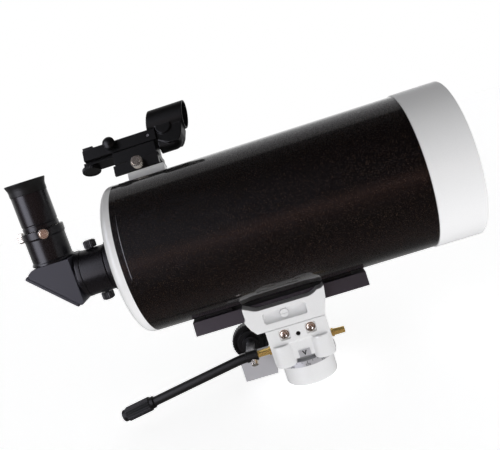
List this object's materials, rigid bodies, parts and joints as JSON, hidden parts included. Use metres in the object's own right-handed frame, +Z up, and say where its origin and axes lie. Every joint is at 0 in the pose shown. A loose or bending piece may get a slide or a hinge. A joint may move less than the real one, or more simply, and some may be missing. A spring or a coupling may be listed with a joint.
{
  "type": "maksutov telescope",
  "caption": "Compact catadioptric telescope: dark flaked tube with white cells, diagonal, eyepiece and red-dot finder, clamped by a dovetail to a declination head with a slow-motion cable.",
  "frame": {"origin": "middle of the declination head's base face, on the declination axis", "axes": "+Z up along the declination axis, +X along the tube to its front, -Y to the side that the picture shows"},
  "size_m": [0.416, 0.1517, 0.2926],
  "materials": {
    "white_paint": "glossy white paint",
    "tube_paint": "gloss black with gold metal flake",
    "steel": "turned steel",
    "chrome": "bright plated",
    "silver": "satin anodised",
    "brass": "turned brass",
    "bar_anodised": "violet-grey anodised",
    "black_anodised": "gloss black anodised",
    "diagonal_black": "matte charcoal",
    "black_plastic": "satin moulded",
    "rubber": "soft matte",
    "glass": "coated",
    "mirror": "aluminised"
  },
  "bodies": {
    "head": {"dec_housing": "white_paint", "dec_shaft": "steel", "shaft_nut": "steel"},
    "circle": {"setting_circle": "silver"},
    "wheel": {"worm_wheel": "brass", "clamp_collar": "silver"},
    "clamp": {"clamp_knob": "black_plastic", "clamp_bolt": "steel"},
    "saddle": {"saddle": "white_paint", "worm_block": "white_paint", "block_screws": "chrome", "pointer_plate": "silver", "jaw_screw": "white_paint", "slow_cable": "rubber"},
    "worm": {"worm": "brass", "cable_sleeve": "rubber", "sleeve_screw": "chrome"},
    "handle": {"cable_handle": "black_plastic"},
    "bar_clamp": {"bar_clamp": "black_plastic"},
    "optical_tube": {"tube": "tube_paint", "rear_cell": "white_paint", "front_cell": "white_paint", "corrector": "glass", "lens_retainer": "black_anodised", "secondary_baffle": "black_anodised", "baffle_tube": "black_anodised", "visual_back": "black_anodised", "dovetail_bar": "bar_anodised", "bar_pads": "black_plastic", "bar_screws": "steel", "finder_shoe": "white_paint", "shoe_screws": "black_plastic"},
    "mirror": {"primary_mirror": "mirror", "mirror_cell": "bar_anodised"},
    "focuser": {"focus_knob": "black_plastic", "focus_screw": "brass"},
    "back_screw_top": {"back_screw_top": "black_anodised"},
    "back_screw_bottom": {"back_screw_bottom": "black_anodised"},
    "diagonal": {"diagonal_body": "diagonal_black", "diagonal_nose": "black_anodised", "diagonal_cover": "diagonal_black", "diagonal_mirror": "mirror", "eyepiece_holder": "black_anodised"},
    "holder_screw_rear": {"holder_screw_rear": "chrome"},
    "holder_screw_side": {"holder_screw_side": "chrome"},
    "eyepiece": {"eyepiece_body": "black_anodised", "eyepiece_barrel": "chrome", "eyecup": "rubber", "eye_lens": "glass", "field_lens": "glass"},
    "finder_foot": {"finder_foot": "black_plastic"},
    "shoe_clamp": {"shoe_clamp": "chrome"},
    "finder_bracket": {"finder_bracket": "black_plastic"},
    "azimuth_wheel": {"azimuth_wheel": "black_plastic"},
    "finder": {"finder_rail": "black_plastic", "finder_hood": "black_plastic", "finder_window": "glass", "finder_pivot": "steel"},
    "finder_switch": {"finder_switch": "black_plastic"},
    "altitude_wheel": {"altitude_wheel": "black_plastic"}
  },
  "joints": [
    {"name": "circle_turn", "type": "hinge", "parent": "head", "child": "circle", "pos_m": [0, 0, 0.0233], "axis": [0, 0, 1], "continuous": true},
    {"name": "dec_clutch", "type": "hinge", "parent": "head", "child": "wheel", "pos_m": [0, 0, 0.033], "axis": [0, 0, 1], "range_deg": [-180, 180]},
    {"name": "clamp_turn", "type": "hinge", "parent": "wheel", "child": "clamp", "pos_m": [-0.0535, 0.045, 0.03425], "axis": [0, 1, 0], "range_deg": [0, 270]},
    {"name": "dec_slow_motion", "type": "hinge", "parent": "wheel", "child": "saddle", "pos_m": [0, 0, 0.056], "axis": [0, 0, 1], "range_deg": [-6, 6]},
    {"name": "worm_turn", "type": "hinge", "parent": "saddle", "child": "worm", "pos_m": [0, -0.023, 0.043], "axis": [1, 0, 0], "range_deg": [-400, 400]},
    {"name": "handle_turn", "type": "hinge", "parent": "saddle", "child": "handle", "pos_m": [-0.151, -0.023, 0.02719], "axis": [0.9859, 0, 0.1676], "range_deg": [-400, 400]},
    {"name": "bar_clamp_turn", "type": "hinge", "parent": "saddle", "child": "bar_clamp", "pos_m": [-0.005, 0.035, 0.0804], "axis": [0, 1, 0], "range_deg": [0, 360]},
    {"name": "tube_slide", "type": "slide", "parent": "saddle", "child": "optical_tube", "axis": [1, 0, 0], "range_m": [-0.03, 0.03]},
    {"name": "focus_travel", "type": "slide", "parent": "optical_tube", "child": "mirror", "axis": [1, 0, 0], "range_m": [-0.008, 0.008]},
    {"name": "focus_turn", "type": "hinge", "parent": "optical_tube", "child": "focuser", "pos_m": [-0.144, 0.038, 0.154], "axis": [1, 0, 0], "range_deg": [-3700, 3700]},
    {"name": "back_top_turn", "type": "hinge", "parent": "optical_tube", "child": "back_screw_top", "pos_m": [-0.1653, 0, 0.187], "axis": [0, 0, 1], "range_deg": [0, 360]},
    {"name": "back_bottom_turn", "type": "hinge", "parent": "optical_tube", "child": "back_screw_bottom", "pos_m": [-0.1653, 0, 0.137], "axis": [0, 0, -1], "range_deg": [0, 360]},
    {"name": "diagonal_turn", "type": "hinge", "parent": "optical_tube", "child": "diagonal", "pos_m": [-0.169, 0, 0.162], "axis": [1, 0, 0], "range_deg": [-120, 120]},
    {"name": "holder_rear_turn", "type": "hinge", "parent": "diagonal", "child": "holder_screw_rear", "pos_m": [-0.22544, 0.00268, 0.2122], "axis": [-0.9925, 0.1219, 0], "range_deg": [0, 360]},
    {"name": "holder_side_turn", "type": "hinge", "parent": "diagonal", "child": "holder_screw_side", "pos_m": [-0.19608, -0.02067, 0.2122], "axis": [0.342, -0.9397, 0], "range_deg": [0, 360]},
    {"name": "eyepiece_slide", "type": "slide", "parent": "diagonal", "child": "eyepiece", "axis": [0, 0, 1], "range_m": [0, 0.026]},
    {"name": "finder_slide", "type": "slide", "parent": "optical_tube", "child": "finder_foot", "axis": [1, 0, 0], "range_m": [-0.02, 0]},
    {"name": "shoe_clamp_turn", "type": "hinge", "parent": "finder_foot", "child": "shoe_clamp", "pos_m": [-0.101, 0.02605, 0.24612], "axis": [0, -0.8746, 0.4848], "range_deg": [0, 360]},
    {"name": "finder_azimuth", "type": "hinge", "parent": "finder_foot", "child": "finder_bracket", "pos_m": [-0.09, 0.04654, 0.24596], "axis": [0, 0.4848, 0.8746], "range_deg": [-2, 2]},
    {"name": "azimuth_wheel_turn", "type": "hinge", "parent": "finder_foot", "child": "azimuth_wheel", "pos_m": [-0.104, 0.05816, 0.2298], "axis": [0, 0.8746, -0.4848], "range_deg": [-250, 250]},
    {"name": "finder_altitude", "type": "hinge", "parent": "finder_bracket", "child": "finder", "pos_m": [-0.087, 0.05634, 0.26363], "axis": [0, 0.8746, -0.4848], "range_deg": [0, 2.5]},
    {"name": "altitude_wheel_turn", "type": "hinge", "parent": "finder_bracket", "child": "altitude_wheel", "pos_m": [-0.1532, 0.05042, 0.25296], "axis": [0, 0.4848, 0.8746], "range_deg": [0, 610]},
    {"name": "switch_turn", "type": "hinge", "parent": "finder", "child": "finder_switch", "pos_m": [-0.1258, 0.047, 0.27155], "axis": [0, -0.8746, 0.4848], "range_deg": [0, 270]}
  ],
  "couplings": [
    {"joint": "worm_turn", "follows": "dec_slow_motion", "ratio": 65},
    {"joint": "handle_turn", "follows": "dec_slow_motion", "ratio": 65},
    {"joint": "focus_turn", "follows": "focus_travel", "rad_per_m": 7854},
    {"joint": "azimuth_wheel_turn", "follows": "finder_azimuth", "ratio": 120},
    {"joint": "altitude_wheel_turn", "follows": "finder_altitude", "ratio": 240}
  ]
}
